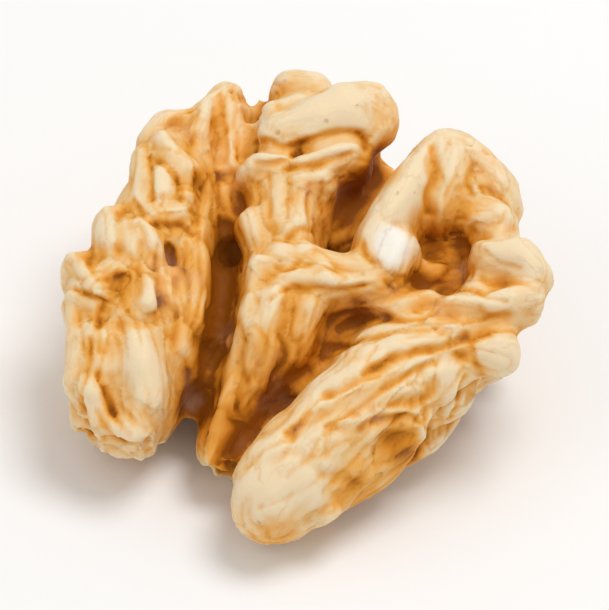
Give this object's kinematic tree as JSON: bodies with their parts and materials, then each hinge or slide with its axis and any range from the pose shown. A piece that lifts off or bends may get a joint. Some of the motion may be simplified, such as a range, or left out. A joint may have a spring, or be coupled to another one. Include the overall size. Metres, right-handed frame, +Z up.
{
  "type": "walnut kernel half",
  "caption": "Shelled walnut kernel half with wrinkled lobes, a looped fold at the broad end and a pointed root tip, lying on its rounded outer side.",
  "frame": {"origin": "on the surface that the kernel lies on, under the middle of its box", "axes": "+Z up, out of the inner face; +Y from the pointed root tip towards the broad end; +X across the two lobes"},
  "size_m": [0.0275, 0.0285, 0.0157],
  "materials": {
    "skin": "thin cream to golden-brown skin, semi-matte with a faint oily sheen, darker in the creases"
  },
  "bodies": {
    "root": {"kernel": "skin"}
  },
  "joints": []
}
